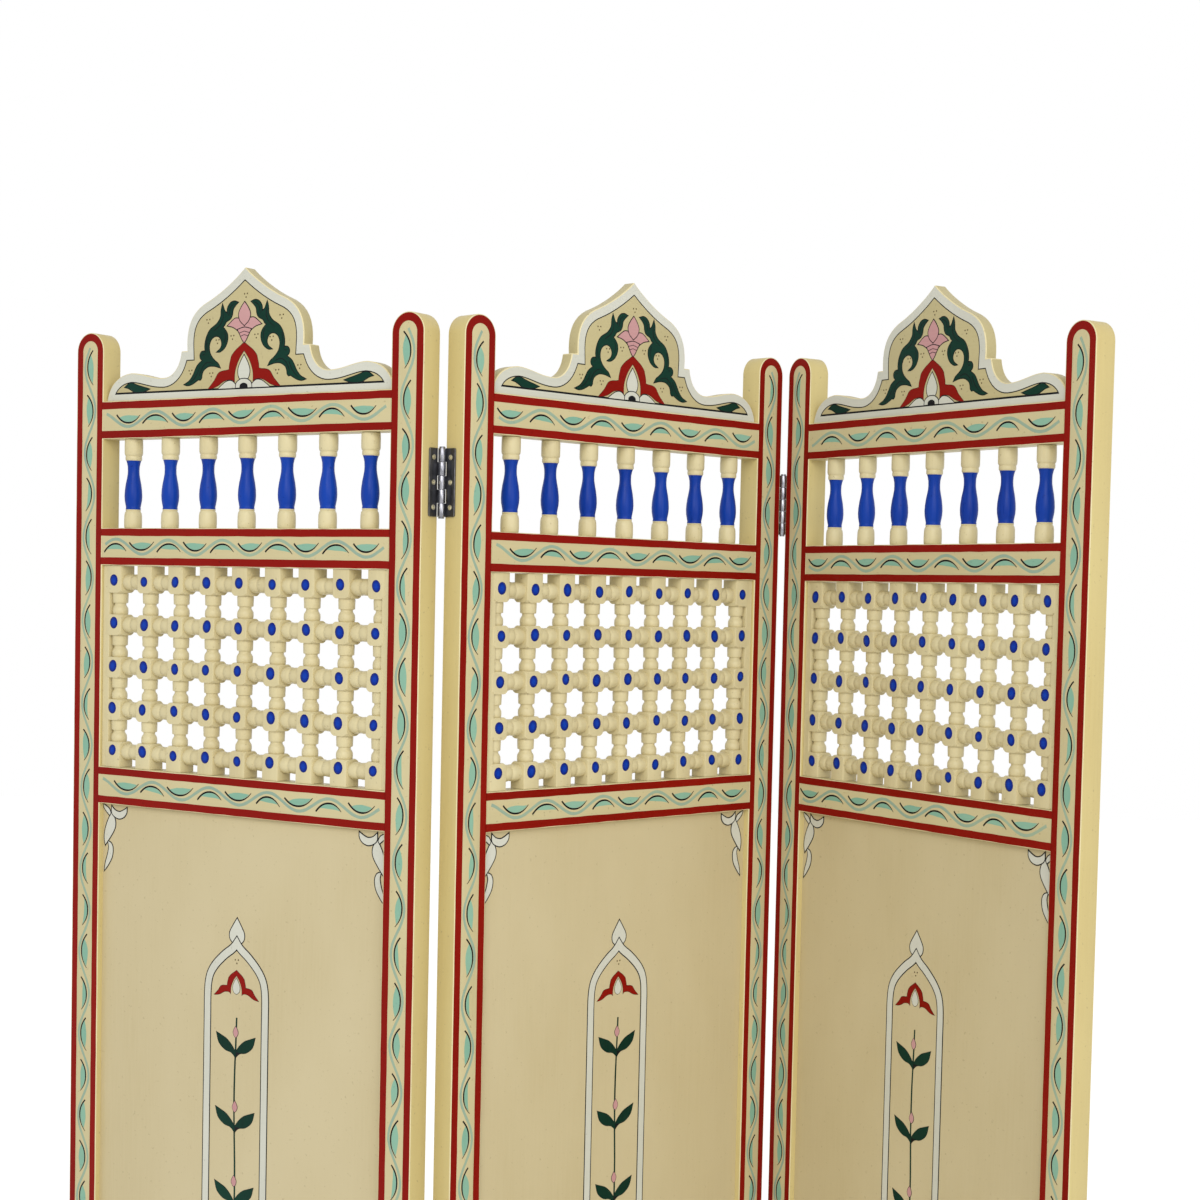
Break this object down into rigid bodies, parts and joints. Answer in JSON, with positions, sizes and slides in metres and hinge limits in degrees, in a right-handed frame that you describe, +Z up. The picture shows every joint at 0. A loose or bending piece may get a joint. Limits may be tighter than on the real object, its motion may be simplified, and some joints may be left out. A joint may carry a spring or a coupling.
{
  "type": "folding screen",
  "caption": "Tall folding screen of hinged painted wooden panels, each with an ogee crest, turned balusters, a lattice of square blocks and turned links, and a painted lower board.",
  "frame": {"origin": "centre of the standing footprint, on the floor, in the half-folded pose of the picture", "axes": "+Z up; -Y is the side the screen is seen from, with the painted fronts of the panels turned towards it; +X to the right"},
  "size_m": [1.1044, 0.4432, 1.8003],
  "materials": {
    "frame_paint": "wood painted cream, with dark red edge lines and a teal wave with leaves; satin, worn pale along the arrises",
    "crest_paint": "board painted cream with a white border, dark green scrolls, a pink flower and a red arch; satin",
    "board_paint": "thin board painted cream with white, green and red ornament; satin",
    "baluster_paint": "turned wood with a bright blue vase between cream blocks; satin paint",
    "lattice_paint": "turned and square wood painted cream, with a blue dot on each block; satin",
    "hinge_steel": "dark steel leaves with bright screw heads, slightly tarnished",
    "pin_steel": "bare steel pin"
  },
  "bodies": {
    "centre_panel": {"centre_post_left": "frame_paint", "centre_post_right": "frame_paint", "centre_top_rail": "frame_paint", "centre_middle_rail": "frame_paint", "centre_lower_rail": "frame_paint", "centre_bottom_rail": "frame_paint", "centre_crest_board": "crest_paint", "centre_painted_board": "board_paint", "centre_baluster_1": "baluster_paint", "centre_baluster_2": "baluster_paint", "centre_baluster_3": "baluster_paint", "centre_baluster_4": "baluster_paint", "centre_baluster_5": "baluster_paint", "centre_baluster_6": "baluster_paint", "centre_baluster_7": "baluster_paint", "centre_lattice": "lattice_paint", "left_hinge_lower_leaf_centre": "hinge_steel", "left_hinge_lower_pin": "pin_steel", "left_hinge_upper_leaf_centre": "hinge_steel", "left_hinge_upper_pin": "pin_steel", "right_hinge_lower_leaf_centre": "hinge_steel", "right_hinge_lower_pin": "pin_steel", "right_hinge_upper_leaf_centre": "hinge_steel", "right_hinge_upper_pin": "pin_steel"},
    "left_panel": {"left_post_left": "frame_paint", "left_post_right": "frame_paint", "left_top_rail": "frame_paint", "left_middle_rail": "frame_paint", "left_lower_rail": "frame_paint", "left_bottom_rail": "frame_paint", "left_crest_board": "crest_paint", "left_painted_board": "board_paint", "left_baluster_1": "baluster_paint", "left_baluster_2": "baluster_paint", "left_baluster_3": "baluster_paint", "left_baluster_4": "baluster_paint", "left_baluster_5": "baluster_paint", "left_baluster_6": "baluster_paint", "left_baluster_7": "baluster_paint", "left_lattice": "lattice_paint", "left_hinge_lower_leaf_left": "hinge_steel", "left_hinge_upper_leaf_left": "hinge_steel"},
    "right_panel": {"right_post_left": "frame_paint", "right_post_right": "frame_paint", "right_top_rail": "frame_paint", "right_middle_rail": "frame_paint", "right_lower_rail": "frame_paint", "right_bottom_rail": "frame_paint", "right_crest_board": "crest_paint", "right_painted_board": "board_paint", "right_baluster_1": "baluster_paint", "right_baluster_2": "baluster_paint", "right_baluster_3": "baluster_paint", "right_baluster_4": "baluster_paint", "right_baluster_5": "baluster_paint", "right_baluster_6": "baluster_paint", "right_baluster_7": "baluster_paint", "right_lattice": "lattice_paint", "right_hinge_lower_leaf_right": "hinge_steel", "right_hinge_upper_leaf_right": "hinge_steel"}
  },
  "joints": [
    {"name": "left_fold", "type": "hinge", "parent": "centre_panel", "child": "left_panel", "pos_m": [-0.11665, -0.13542, 0.87], "axis": [0, 0, 1], "range_deg": [-101.3, 78.7]},
    {"name": "right_fold", "type": "hinge", "parent": "centre_panel", "child": "right_panel", "pos_m": [0.26188, 0.20546, 0.87], "axis": [0, 0, 1], "range_deg": [-76.8, 103.2]}
  ]
}
